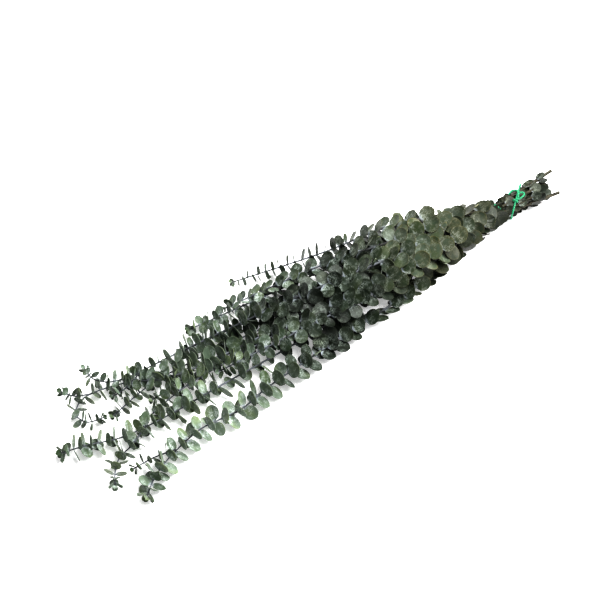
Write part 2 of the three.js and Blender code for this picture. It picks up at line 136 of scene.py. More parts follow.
# Stem past the tie, how much wider the bundle is at that cut end, then guide points out to the
# tip. The first three are the core of the bundle.
BRANCHES = [
    (46, 1.2, [(75, 3, 33), (155, -2, 47), (300, 18, 38), (440, 36, 20), (520, 43, 15),
               (547, 58, 15), (552, 78, 16)]),
    (38, 1.2, [(75, 4, 24), (155, 6, 30), (300, 2, 24), (455, 12, 17), (521, 38, 14),
               (566, 46, 14), (586, 34, 13), (580, 18, 12), (561, 13, 12)]),
    (44, 1.2, [(75, -4, 24), (150, -10, 26), (300, -21, 15), (434, -23, 14), (499, -24, 14),
               (554, -20, 13), (592, -8, 13), (622, -1, 13)]),
    (38, 1.2, [(75, 19, 30), (150, 43, 35), (240, 62, 22), (350, 88, 14)]),
    (60, 1.6, [(75, 9, 38), (150, 14, 50), (262, 44, 31), (378, 62, 14)]),
    (34, 1.2, [(75, -7, 35), (150, -21, 46), (300, -8, 31), (437, -3, 18), (484, -6, 14),
               (530, -17, 13)]),
    (36, 1.2, [(75, -12, 31), (150, -24, 33), (300, -20, 34), (425, -11, 24)]),
    (56, 1.8, [(75, -17, 20), (125, -26, 16), (200, -37, 14), (280, -43, 14), (383, -53, 14),
               (426, -61, 14), (476, -58, 14), (522, -69, 13), (547, -81, 13), (566, -96, 13)]),
    (32, 1.2, [(75, -8, 13), (150, -11, 12), (300, 2, 12), (400, 8, 13), (505, 3, 13)]),
    (40, 1.2, [(75, 4, 13), (150, 9, 12), (300, 14, 12), (444, 22, 12), (500, 21, 12), (552, 9, 12)]),
    (34, 1.2, [(75, 15, 14), (150, 31, 13), (300, 30, 13), (448, 38, 15)]),
    (40, 1.2, [(75, 18, 22), (150, 27, 28), (280, 44, 20), (425, 60, 13)]),
]

# How each branch grew: how far from the tie its leaves were pressed flat, how much they face up
# beyond that, its leaf size at the tip, and how much darker its very tip is coloured.
HABITS = [
    (410, 0.1, 0.50, 0.2), (410, 0.1, 0.45, 0.7), (330, 0.0, 0.75, 0.8), (275, 0.0, 0.45, 0.0),
    (440, 0.5, 0.55, 0.4), (420, 0.0, 0.55, 0.2), (440, 0.5, 0.55, 0.3), (420, 0.5, 0.80, 0.0),
    (380, 0.0, 0.55, 0.1), (400, 0.1, 0.50, 0.5), (430, 0.4, 0.55, 0.0), (430, 0.5, 0.55, 0.2),
]

# Side twigs: the branch each grew from, its leaf size at the tip, how much darker its tip is
# coloured, and its guide points.
TWIGS = [
    (0, 0.5, 0.2, [(498, 40, 15), (506, 36, 18), (515, 31, 20), (527, 28, 20), (541, 28, 18)]),
    (1, 0.5, 0.9, [(560, 46, 14), (577, 52, 16), (588, 66, 15)]),
    (2, 0.6, 0.0, [(526, -21, 14), (548, -33, 13), (570, -40, 12), (581, -51, 12), (590, -67, 12)]),
    (7, 0.45, 1.0, [(512, -65, 14), (538, -60, 13), (564, -60, 13)]),
]


def placed(guides):
    """Guide points as places in the frame, in millimetres."""
    return [np.array([TIE[0] - x, TIE[1] + y, z]) for x, y, z in guides]


def bundle_offset(number):
    """A stem's place in the tied bundle, measured from the middle of the tie."""
    if number < CORE_STEMS:
        angle, radius = CORE_START - number / CORE_STEMS * 2 * math.pi, CORE_RADIUS
    else:
        share = (number - CORE_STEMS) / (len(BRANCHES) - CORE_STEMS)
        angle, radius = RING_START + share * 2 * math.pi, RING_RADIUS
    return np.array([0, radius * math.cos(angle), radius * math.sin(angle)])


# %% Smooth lines through the guides
STEP = 1.0


def smooth_line(guides):
    """Even steps along a smooth line through the guides, and the way it runs at each step."""
    p = np.array([2 * guides[0] - guides[1], *guides, 2 * guides[-1] - guides[-2]])
    t = np.linspace(0, 1, 60, endpoint=False)[:, None]
    dense = np.concatenate([
        0.5 * (2 * b + (c - a) * t + (2 * a - 5 * b + 4 * c - d) * t**2 + (3 * b - a - 3 * c + d) * t**3)
        for a, b, c, d in zip(p, p[1:], p[2:], p[3:])
    ] + [p[-2:-1]])
    run = np.concatenate([[0], np.cumsum(np.linalg.norm(np.diff(dense, axis=0), axis=1))])
    even = np.linspace(0, run[-1], round(run[-1] / STEP) + 1)
    points = np.stack([np.interp(even, run, dense[:, k]) for k in range(3)], axis=1)
    ways = np.gradient(points, axis=0)
    return points, ways / np.linalg.norm(ways, axis=1)[:, None]


def branch_line(number):
    cut, spread, guides = BRANCHES[number]
    offset = bundle_offset(number)
    at_cut = TIE + spread * offset + np.array([cut, 0, 0])
    held_to = TIE + offset - np.array([HELD_TO, 0, 0])
    return smooth_line([at_cut, TIE + offset, held_to, *placed(guides)])


stem_lines = [branch_line(i) for i in range(len(BRANCHES))]
twig_lines = [smooth_line(placed(guides)) for *_, guides in TWIGS]
print("branch lengths in mm:", [len(points) - 1 for points, _ in stem_lines])


# %% The turns of string round the bundle
CORD_RADIUS = 1.2
TURN_POINTS = 24
KNOT = np.array([TIE[0] - 3.9, TIE[1] - 5.6, TIE[2] + 15.3])


def turn_round(shift, slant, radius):
    """A closed turn round the bundle, leaning along it by slant times its width."""
    angles = np.radians(np.linspace(0, 360, TURN_POINTS + 1)[:-1])
    across, up = radius * np.cos(angles), radius * np.sin(angles)
    return [TIE + (shift + slant * y, y, z) for y, z in zip(across, up)]


def from_knot(*points):
    return [KNOT + point for point in np.array(points, float)]


def closed_line(points):
    """Even steps round a closed line through the points."""
    around, _ = smooth_line([*points[-2:], *points, *points[:2]])
    from_start = np.linalg.norm(around - points[0], axis=1)
    half = len(around) // 2
    first = int(np.argmin(from_start[:half]))
    last = int(np.argmin(from_start[half:])) + half
    return around[first:last + 1]


# Two turns, and the strand under the bunch that joins them.
STRING_TURNS = [
    closed_line(turn_round(2.5, 1.15, 15.7)),
    closed_line(turn_round(-28, -0.35, 14.4)),
    smooth_line([TIE + (2.5, 0, -15.7), TIE + (-28, 0, -14.4)])[0],
]
print("lengths of the string's turns and strand in mm:", [len(turn) for turn in STRING_TURNS])


# %% [markdown]
# ## One leaf, five ways
#
# A young eucalyptus leaf is an almost round coin, joined to the stem by its edge. It could be a
# flat disc, but real ones dish, fold along the midrib or curl at the rim as they dry. So one leaf
# is modelled from a filled circle with inset rings, and bent into five shapes that are then copied
# many times. It is one unit long, grows along +Y from the origin, and faces +Z.

# %% Model the leaf blade
RIM_POINTS = 16


def deselect_all():
    bpy.ops.object.select_all(action="DESELECT")


def activate(obj):
    deselect_all()
    obj.select_set(True)
    bpy.context.view_layer.objects.active = obj


def select_vertices(obj, wanted):
    """In edit mode, selects only the vertices whose place satisfies wanted."""
    bpy.ops.mesh.select_mode(type="VERT")
    bpy.ops.mesh.select_all(action="DESELECT")
    bpy.ops.object.mode_set(mode="OBJECT")
    for vertex in obj.data.vertices:
        vertex.select = wanted(vertex.co)
    bpy.ops.object.mode_set(mode="EDIT")


def model_blade(name, dish, fold, arch, curl):
    """A leaf blade: how deep its dish, how sharp its midrib fold, how far it arches and curls."""
    deselect_all()
    bpy.ops.mesh.primitive_circle_add(
        vertices=RIM_POINTS, radius=0.5, fill_type="NGON", location=(0, 0.5, 0))
    blade = bpy.context.object
    blade.name = name
    bpy.ops.object.transform_apply(location=True, rotation=True, scale=True)
    bpy.ops.object.mode_set(mode="EDIT")
    bpy.ops.mesh.inset(thickness=0.2, depth=-dish)
    bpy.ops.mesh.select_all(action="SELECT")
    bpy.ops.mesh.bisect(plane_co=(0, 0, 0), plane_no=(1, 0, 0))
    bpy.ops.mesh.select_all(action="SELECT")
    bpy.ops.mesh.bisect(plane_co=(0, 0.5, 0), plane_no=(0, 1, 0))
    select_vertices(blade, lambda co: abs(co.x) < 0.01)
    bpy.ops.transform.translate(value=(0, 0, -fold))
    select_vertices(blade, lambda co: co.y < 0.12)
    bpy.ops.transform.resize(value=(0.72, 1, 1), center_override=(0, 0, 0))
    select_vertices(blade, lambda co: co.y > 0.97)
    bpy.ops.transform.translate(value=(0, 0.03, 0))
    bpy.ops.object.mode_set(mode="OBJECT")
    for axis, angle in (("X", arch), ("Y", curl)):
        bend = blade.modifiers.new("bend", "SIMPLE_DEFORM")
        bend.deform_method = "BEND"
        bend.deform_axis = axis
        bend.angle = math.radians(angle)
        bpy.ops.object.modifier_apply(modifier=bend.name)
    return blade


# %% Give the blade its thickness and its own map
BLADE_THICKNESS = 0.026


def finish_blade(blade):
    """Lays a map on the blade before it has two sides, then thickens it and smooths its shading."""
    activate(blade)
    blade_map = blade.data.uv_layers.new(name="blade")
    blade.data.uv_layers.active = blade_map
    flat = np.array([vertex.co for vertex in blade.data.vertices])
    for loop in blade.data.loops:
        x, y, _ = flat[loop.vertex_index]
        blade_map.data[loop.index].uv = (x + 0.5, y)
    wall = blade.modifiers.new("wall", "SOLIDIFY")
    wall.thickness = BLADE_THICKNESS
    wall.offset = 0
    bpy.ops.object.modifier_apply(modifier=wall.name)
    bpy.ops.object.shade_smooth_by_angle(angle=math.radians(50))
    return blade


# Dish, midrib fold, arch and curl, the last two in degrees.
BLADE_SHAPES = {
    "blade_flat": (0.012, 0.02, 4, 0),
    "blade_domed": (-0.035, 0.0, 8, 10),
    "blade_dished": (0.025, 0.02, -5, 6),
    "blade_folded": (0.02, 0.09, 9, -12),
    "blade_curled": (0.02, 0.04, -14, 14),
}
blades = [finish_blade(model_blade(name, *shape)) for name, shape in BLADE_SHAPES.items()]
print("leaf blade faces:", [len(blade.data.polygons) for blade in blades])


# %% [markdown]
# ## Where each leaf sits
#
# Leaves grow in opposite pairs, each pair a quarter turn from the last. Scattering them blindly
# would push them through each other, so each one is settled as a hand would do it: it starts from
# how it would like to sit and is leaned, turned and twisted, a little more each time, until its
# flat outline touches nothing. The blades are bent and have thickness, which that test leaves out,
# so some still cut into each other. Leaves that can't be settled are left out, like those rubbed
# off a real bunch.

# %% How leaves and pairs are spaced
LEAF_LENGTH = 19.0
GROWN_AFTER = 260
PAIR_GAP_TIP = 3.0
PAIR_GAP_GROWN = 9.4
BARE_CUT_END = 7
BARE_LONG_END = 19
LONG_CUT = 50
STEM_RADIUS_CUT = 2.1
STEM_RADIUS_TIP = 0.75
TWIG_RADIUS = 0.95


def mix(a, b, t):
    return a + (b - a) * t


def leaf_length(from_tip, from_tie, tip_share):
    """Small at the tip, and smaller again where the string holds the bunch."""
    grown = mix(tip_share, 1, min(1, from_tip / GROWN_AFTER) ** 0.6)
    bud = mix(0.5, 1, min(1, from_tip / 8))
    held = mix(0.66, 1.16, min(1, max(0, from_tie - 18) / 38)) if from_tie > 0 else 0.8
    return LEAF_LENGTH * grown * bud * min(held, 1 + 0.16 * max(0, 1 - from_tie / 190))


def stem_radius(from_tip, length, root_radius):
    return mix(STEM_RADIUS_TIP, root_radius, min(1, from_tip / length) ** 1.3)


def bare_end(number):
    """How much of a branch's cut end has no leaves: more where it sticks out of the bunch."""
    return BARE_LONG_END if BRANCHES[number][0] > LONG_CUT else BARE_CUT_END


def pair_places(length, bare):
    """Distances from the tip at which the leaf pairs sit."""
    places = [1.0]
    while places[-1] < length - bare:
        places.append(places[-1] + mix(PAIR_GAP_TIP, PAIR_GAP_GROWN, min(1, places[-1] / 45) ** 0.7))
    return places[:-1]


# %% The outline that packing pressed the bunch into
OUTLINE = np.array([
    # from the tie, middle across, middle height, half width, half height, how square it is
    (-70, 0, 20, 21, 18.5, 2),
    (-40, 0, 20, 18.5, 18, 2),
    (-14, -1, 19, 16.4, 15.4, 2),
    (14, -1, 19, 16.4, 15.4, 2),
    (24, -1, 19, 19.5, 18, 2),
    (50, 2, 23, 25, 22.5, 2),
    (75, 4, 28, 32, 27, 2.3),
    (150, 10, 36, 56, 36, 3.5),
    (230, 9, 38, 66, 38, 3.5),
    (340, 20, 42, 100, 42, 3.5),
])
OUTLINE_END = OUTLINE[-1, 0]
FLOOR_GAP = 3.0


def outline_at(from_tie):
    return [np.interp(from_tie, OUTLINE[:, 0], OUTLINE[:, k]) for k in range(1, 6)]


def off_centre(points):
    """How far off the middle of the outline points are, where 1 is on the outline."""
    across, up, half_width, half_height, square = outline_at(TIE[0] - points[..., 0])
    y = np.abs(points[..., 1] - TIE[1] - across) / half_width
    z = np.abs(points[..., 2] - up) / half_height
    return (y**square + z**square) ** (1 / square)


def within_outline(points):
    """For points in millimetres: above the floor and, near the tie, inside the outline."""
    past_outline = TIE[0] - points[..., 0] > OUTLINE_END
    return (points[..., 2] > FLOOR_GAP) & (past_outline | (off_centre(points) < 1))


PRESS_FADE = 130


def pressure(from_tie, pressed_to):
    """How hard the leaves were pressed: 1 near the tie, falling to 0 where the branch opens."""
    return min(1, max(0, (pressed_to - from_tie) / PRESS_FADE))


# %% A leaf's axes, and what it could touch
LEAF_RIM = np.array([(0.04, 0), (0.3, 0.46), (0.7, 0.46), (1, 0), (0.7, -0.46), (0.3, -0.46)])
CLEARANCE = 0.35


def turned(vectors, axis, angle):
    """Turns vectors about a unit axis, where either may be one or many."""
    angle = np.asarray(angle)[..., None]
    along_axis = np.sum(vectors * axis, axis=-1, keepdims=True) * axis
    turned_part = vectors * np.cos(angle) + np.cross(axis, vectors) * np.sin(angle)
    return turned_part + along_axis * (1 - np.cos(angle))


def leaf_frames(root, way, outward, lean, twist, length):
    """Frames of candidate leaves: lean is from the way the stem grows, twist about the leaf."""
    along = outward * np.sin(lean)[:, None] + way * np.cos(lean)[:, None]
    across = turned(np.cross(outward, way), along, twist)
    face = np.cross(across, along)
    far, side = LEAF_RIM[:, 0, None], LEAF_RIM[:, 1, None]
    return {
        "root": root, "along": along, "across": across, "face": face,
        "rim": root[:, None] + length * (far * along[:, None] + side * across[:, None]),
        "middle": root + 0.5 * length * along,
        "half": np.full(len(root), 0.5 * length),
    }


def over_blade(points, leaves, margin):
    """Where points (leaf, point) are over leaves: height above the blade, and how far along and
    across it, where 1 is on its rim."""
    reach = points - leaves["middle"][:, None]
    half = leaves["half"][:, None] + margin
    far = np.einsum("npk,nk->np", reach, leaves["along"]) / half
    side = np.einsum("npk,nk->np", reach, leaves["across"]) / half
    height = np.einsum("npk,nk->np", reach, leaves["face"])
    return height, far, side


def rims_cross(rims, leaves):
    """For each leaf and the rim tested against it, whether the rim touches or crosses the blade."""
    height, far, side = over_blade(rims, leaves, CLEARANCE)
    touches = ((far**2 + side**2 < 1) & (np.abs(height) < 2 * CLEARANCE)).any(axis=1)
    after = np.roll(height, -1, axis=1)
    crossing = height * after < 0
    t = np.where(crossing, height / np.where(crossing, height - after, 1), 0)
    far = far + (np.roll(far, -1, axis=1) - far) * t
    side = side + (np.roll(side, -1, axis=1) - side) * t
    return touches | (crossing & (far**2 + side**2 < 1)).any(axis=1)


# %% The leaves and stems already in place
MOST_LEAVES = 4000
LEAF_RECORD = {"along": (3,), "across": (3,), "face": (3,), "rim": (6, 3), "middle": (3,), "half": ()}


class Settled:
    """Grows as leaves are placed, and says which candidates are clear of all it holds."""

    def __init__(self, stems):
        owners = [np.full(len(points), owner) for points, _, owner in stems]
        self.stem_points = np.concatenate([points for points, _, _ in stems])
        self.stem_radii = np.concatenate([radii for _, radii, _ in stems])
        self.stem_owner = np.concatenate(owners)
        self.count = 0
        self.store = {key: np.zeros((MOST_LEAVES, *shape)) for key, shape in LEAF_RECORD.items()}

    def add(self, leaves, i):
        for key, values in self.store.items():
            values[self.count] = leaves[key][i]
        self.count += 1

    def clear(self, leaves, owner):
        """Which of the candidate leaves touch neither a stem nor another leaf."""
        total = len(leaves["root"])
        size = leaves["half"][0]
        where = leaves["middle"].mean(axis=0)
        ok = within_outline(leaves["rim"]).all(axis=1)

        reach = self.stem_points - where
        close = np.flatnonzero(np.einsum("nk,nk->n", reach, reach) < (2.2 * size + 6) ** 2)
        points, radii = self.stem_points[close], self.stem_radii[close]
        from_root = np.linalg.norm(points - leaves["root"][0], axis=1)
        counted = (self.stem_owner[close] != owner) | (from_root > 3.2 + radii)
        points, radii = points[counted], radii[counted]
        for_each = np.broadcast_to(points, (total, *points.shape))
        height, far, side = over_blade(for_each, leaves, radii + CLEARANCE)
        ok &= ~((far**2 + side**2 < 1) & (np.abs(height) < radii + CLEARANCE)).any(axis=1)

        reach = self.store["middle"][:self.count] - where
        limit = (1.15 * (self.store["half"][:self.count] + size) + 0.6 * size) ** 2
        near = np.flatnonzero(np.einsum("nk,nk->n", reach, reach) < limit)
        if len(near) and ok.any():
            live = np.flatnonzero(ok)
            i, j = (grid.ravel() for grid in np.meshgrid(live, near, indexing="ij"))
            mine = {key: leaves[key][i] for key in self.store}
            theirs = {key: self.store[key][j] for key in self.store}
            bad = rims_cross(mine["rim"], theirs) | rims_cross(theirs["rim"], mine)
            ok[live] = ~bad.reshape(len(live), len(near)).any(axis=1)
        return ok


# %% The shifts to try, the smallest first
def shift_table():
    rows = [
        (lean, turn, twist)
        for lean in (0, 8, -8, 16, -16, 25, -25, 35, 45)
        for turn in (0, 12, -12, 25, -25, 40, -40)
        for twist in (0, 15, -15, 35, -35, 60, -60)
    ]
    rows.sort(key=lambda row: abs(row[0]) + 0.8 * abs(row[1]) + 0.5 * abs(row[2]))
    return np.radians(rows)


SHIFTS = shift_table()
SHIFT_BATCHES = [SHIFTS[:8], SHIFTS[8:40], SHIFTS[40:140], SHIFTS[140:320]]
SETTLE_SIZES = (1, 0.8, 0.62)
LEAN_LEAST = math.radians(38)
LEAN_MOST = math.radians(172)


def settle(settled, wish, owner):
    """Places one leaf, as near to how it wishes to sit as it can. Returns its frame, or None."""
    for size in SETTLE_SIZES:
        for batch in SHIFT_BATCHES:
            lean = np.clip(wish["lean"] + batch[:, 0], LEAN_LEAST, LEAN_MOST)
            outward = turned(wish["outward"][None], wish["way"], batch[:, 1])
            root = np.repeat(wish["root"][None], len(batch), axis=0)
            twist = wish["twist"] + batch[:, 2]
            leaves = leaf_frames(root, wish["way"], outward, lean, twist, size * wish["length"])
            fits = np.flatnonzero(settled.clear(leaves, owner))
            if len(fits):
                settled.add(leaves, fits[0])
                return {key: leaves[key][fits[0]] for key in leaves}
    return None


# %% How a leaf would like to sit
LEAN_BUD = math.radians(28)
LEAN_OPEN = math.radians(106)
LEAN_PRESSED_TOP = math.radians(145)
LEAN_PRESSED_SIDE = math.radians(120)
LEAN_HELD = math.radians(170)
SPREAD = math.radians(20)
HELD_REACH = 70
STRAY_SHARE = 0.12
STRAY_LEAN = math.radians(100)
STRAY_TWIST = math.radians(80)


def up_and_out(centre):
    """The way a pressed leaf faces, up and tilted outward, and how firmly the string holds it."""
    across, up, half_width, half_height, _ = outline_at(TIE[0] - centre[0])
    y, z = (centre[1] - TIE[1] - across) / half_width, (centre[2] - up) / half_height
    held = max(0, 1 - abs(TIE[0] - centre[0]) / HELD_REACH)
    facing = np.array([0, mix(0.5, 3, held) * y, mix(1, 3 * z, held)])
    return facing / np.linalg.norm(facing), held


def leaf_wish(centre, way, outward, radius, from_tip, habit, chance):
    """Square to the stem where the branch is open, and laid back and flat where it was pressed.
    A few stray leaves stand on edge."""
    pressed_to, open_twist, tip_share, tip_dark = habit
    from_tie = TIE[0] - centre[0]
    press = pressure(from_tie, pressed_to)
    facing, held = up_and_out(centre)
    lean = mix(LEAN_OPEN, mix(LEAN_PRESSED_SIDE, LEAN_PRESSED_TOP, abs(outward @ facing)), press)
    lean = mix(lean, LEAN_HELD, held**0.6) + SPREAD * (chance.random() - 0.5)
    lean = mix(LEAN_BUD, lean, min(1, from_tip / 14))
    along = outward * math.sin(lean) + way * math.cos(lean)
    across = np.cross(outward, way)
    flat = math.atan2(-across @ facing, np.cross(across, along) @ facing)
    flat = (flat + math.pi / 2) % math.pi - math.pi / 2
    twist = max(open_twist, press) * flat + SPREAD * (chance.random() - 0.5)
    stray = chance.random() < STRAY_SHARE * press and from_tie > 60 and outward @ facing > 0.3
    return {
        "root": centre + outward * radius, "way": way, "outward": outward,
        "lean": STRAY_LEAN if stray else lean,
        "twist": twist + STRAY_TWIST if stray else twist,
        "length": leaf_length(from_tip, from_tie, tip_share) * (0.92 + 0.16 * chance.random()),
        "from_tip": from_tip, "stray": stray, "dark": tip_dark * max(0, 1 - from_tip / 24),
    }


# %% Wishes for every leaf of every branch and twig
RUBBED_SHARE = 0.55  # upper leaves under another stem
SIDE_RUBBED_SHARE = 0.35  # leaves at the sides of the pressed bunch
BARE_TWIG_ROOT = 5


def buried(number, centre):
    """Whether another stem lies over this place, close enough to rub its upper leaves off."""
    for other, (points, _) in enumerate(stem_lines):
        near = points[np.abs(points[:, 0] - centre[0]) < 1]
        if other != number and len(near):
            above = near[0] - centre
            if above[2] > 7 and abs(above[1]) < 19:
                return True
    return False


def wishes_along(line, root_radius, bare, owner, habit, chance):
    points, ways = line
    length = len(points) - 1.0
    wishes = []
    for number, from_tip in enumerate(pair_places(length, bare)):
        at = min(len(points) - 1, round((length - from_tip) / STEP))
        centre, way = points[at], ways[at]
        side = up_and_out(centre)[0]
        side = side - (side @ way) * way
        side /= np.linalg.norm(side)
        radius = stem_radius(from_tip, length, root_radius)
        turn = number * math.pi / 2 + SPREAD * (chance.random() - 0.5)
        is_buried = buried(owner, centre)
        pressed = 60 < TIE[0] - centre[0] < habit[0] - PRESS_FADE
        for half_turn in (0, math.pi):
            outward = turned(side, way, turn + half_turn)
            at_side = pressed and not is_buried and 0 < outward[2] < 0.6
            if is_buried and outward[2] > -0.3 and chance.random() < RUBBED_SHARE:
                continue
            if at_side and chance.random() < SIDE_RUBBED_SHARE:
                continue
            wish = leaf_wish(centre, way, outward, 0.8 * radius, from_tip, habit, chance)
            wishes.append({**wish, "owner": owner})
    return wishes


def depth(wish):
    """How deep inside the bunch a leaf would sit, so that the outermost can be settled first."""
    along = wish["outward"] * math.sin(wish["lean"]) + wish["way"] * math.cos(wish["lean"])
    middle = wish["root"] + 0.5 * wish["length"] * along
    lowered = middle + np.array([0, 0, 8.0])
    return 1 - float(off_centre(lowered))


# %% Settle the leaves, the outermost first
def radii_along(line, root_radius):
    length = len(line[0]) - 1.0
    return np.array([stem_radius(length - i, length, root_radius) for i in range(len(line[0]))])


BRANCH_SEED = 700
TWIG_SEED = 800
STRING = -1  # stands for a branch's number

all_stems = [(line[0][::2], radii_along(line, STEM_RADIUS_CUT)[::2], i)
             for i, line in enumerate(stem_lines)]
all_stems += [(line[0][::2], radii_along(line, TWIG_RADIUS)[::2], TWIGS[i][0])
              for i, line in enumerate(twig_lines)]
all_stems += [(turn, np.full(len(turn), CORD_RADIUS), STRING) for turn in STRING_TURNS]
settled = Settled(all_stems)
wishes = []
for number, line in enumerate(stem_lines):
    chance = np.random.default_rng(BRANCH_SEED + number)
    wishes += wishes_along(line, STEM_RADIUS_CUT, bare_end(number), number, HABITS[number], chance)
for number, line in enumerate(twig_lines):
    branch, tip_share, tip_dark, _ = TWIGS[number]
    chance = np.random.default_rng(TWIG_SEED + number)
    habit = (0, 0.0, tip_share, tip_dark)
    wishes += wishes_along(line, TWIG_RADIUS, BARE_TWIG_ROOT, branch, habit, chance)
wishes.sort(key=depth)
branch_leaves = [[] for _ in BRANCHES]
for wish in wishes:
    leaf = settle(settled, wish, wish["owner"])
    if leaf:
        leaf.update({key: wish[key] for key in ("from_tip", "stray", "dark")})
        branch_leaves[wish["owner"]].append(leaf)
print("leaves on each branch:", [len(leaves) for leaves in branch_leaves], "of", len(wishes))


# %% How covered each leaf is by those above it
# Leaves with others above them get painted shade in their colour, as much as this cover says.
COVER_REACH = 9
COVER_RISE = 4

all_leaves = [leaf for leaves in branch_leaves for leaf in leaves]
middles = np.array([leaf["middle"] for leaf in all_leaves])
for leaf in all_leaves:
    above = middles - leaf["middle"]
    close = (np.hypot(above[:, 0], above[:, 1]) < COVER_REACH) & (above[:, 2] > COVER_RISE)
    leaf["cover"] = min(1.0, close.sum() / 1.5)
print("leaves well covered:", sum(leaf["cover"] == 1 for leaf in all_leaves), "of", len(all_leaves))


# %% [markdown]
# ## Leaf finish
#
# The leaves are grey-green with a pale waxy bloom, thickest near the stem and broken up where it
# was rubbed. Those near the cut ends have turned olive, with a yellow rim. Leaves under others in
# the bunch get painted shade: their grey and bloom are lowered and their age raised, so they come
# out darker. One material does all of this: each leaf carries its own mark (how grey it is, how
# olive, how much bloom it has and how old it is, all with that painted shade in them), and its map
# says where on the blade a point is, for the midrib, the veins and the rim.

# %% Helpers for materials
def set_inputs(node, **values):
    for key, value in values.items():
        node.inputs[key.replace("_", " ")].default_value = value


class Finish:
    """A new material, with helpers that add its nodes. Each value may be another node's output."""

    def __init__(self, name):
        self.material = bpy.data.materials.new(name)
        self.material.use_nodes = True
        self.tree = self.material.node_tree
        self.shader = self.tree.nodes["Principled BSDF"]
        self.place = self.add("ShaderNodeTexCoord").outputs["Object"]

    def add(self, kind, **settings):
        node = self.tree.nodes.new(kind)
        for key, value in settings.items():
            setattr(node, key, value)
        return node

    def feed(self, socket, value):
        if isinstance(value, bpy.types.NodeSocket):
            self.tree.links.new(value, socket)
        else:
            socket.default_value = value

    def mix(self, factor, first, second, blend="MIX"):
        """The first colour where factor is 0, and the second where it is 1."""
        node = self.add("ShaderNodeMix", data_type="RGBA", blend_type=blend)
        self.feed(node.inputs[0], factor)
        self.feed(node.inputs[6], first)
        self.feed(node.inputs[7], second)
        return node.outputs[2]

    def maths(self, operation, first, second=0.0, clamp=False):
        node = self.add("ShaderNodeMath", operation=operation, use_clamp=clamp)
        self.feed(node.inputs[0], first)
        self.feed(node.inputs[1], second)
        return node.outputs[0]

    def times(self, first, second, clamp=False):
        return self.maths("MULTIPLY", first, second, clamp)

    def plus(self, first, second, clamp=False):
        return self.maths("ADD", first, second, clamp)

    def ramp(self, value, low, high):
        """0 below low, 1 above high, and smooth between. low may be above high."""
        node = self.add("ShaderNodeMapRange", interpolation_type="SMOOTHSTEP")
        self.feed(node.inputs["Value"], value)
        if low > high:
            low, high = high, low
            set_inputs(node, To_Min=1.0, To_Max=0.0)
        set_inputs(node, From_Min=low, From_Max=high)
        return node.outputs["Result"]

    def noise(self, scale, detail, roughness=0.5, where=None):
        node = self.add("ShaderNodeTexNoise")
        self.feed(node.inputs["Vector"], where or self.place)
        set_inputs(node, Scale=scale, Detail=detail, Roughness=roughness)
        return node.outputs[0]

    def bump(self, height, strength, distance):
        node = self.add("ShaderNodeBump")
        set_inputs(node, Strength=strength, Distance=distance)
        self.feed(node.inputs["Height"], height)
        self.feed(self.shader.inputs["Normal"], node.outputs[0])


# %% The leaf material
DEEP_GREEN = (0.030, 0.058, 0.026, 1)
GREY_GREEN = (0.150, 0.195, 0.145, 1)
OLIVE = (0.110, 0.105, 0.022, 1)
RIM_YELLOW = (0.260, 0.225, 0.080, 1)
BLOOM = (0.57, 0.62, 0.60, 1)
JOINT_BLOOM = (0.28, 0.31, 0.34, 1)
VEIN_PALE = (0.14, 0.18, 0.10, 1)
AGED_AND_SHADED_GREEN = (0.055, 0.075, 0.045, 1)
WARMER = (1.12, 1.10, 0.78, 1)
VEINS_A_LEAF = 9.0
VEIN_SLOPE = 11.0
VEIN_STRENGTH = 0.45


def leaf_lines(finish, blade):
    """How strongly the midrib and veins show, how near the rim a point is, and how far along."""
    parts = finish.add("ShaderNodeSeparateXYZ")
    finish.feed(parts.inputs[0], blade)
    across = finish.maths("ABSOLUTE", finish.maths("SUBTRACT", parts.outputs[0], 0.5))
    along = parts.outputs[1]
    midrib = finish.ramp(across, 0.035, 0.008)
    climb = finish.maths("SUBTRACT", finish.times(along, VEINS_A_LEAF), finish.times(across, VEIN_SLOPE))
    wave = finish.maths("ABSOLUTE", finish.maths("SINE", finish.times(climb, math.pi)))
    veins = finish.times(finish.ramp(wave, 0.22, 0.0), VEIN_STRENGTH)
    from_middle = finish.add("ShaderNodeVectorMath", operation="DISTANCE")
    finish.feed(from_middle.inputs[0], blade)
    from_middle.inputs[1].default_value = (0.5, 0.5, 0)
    rim = finish.ramp(from_middle.outputs["Value"], 0.43, 0.5)
    return finish.maths("MAXIMUM", midrib, veins), rim, along


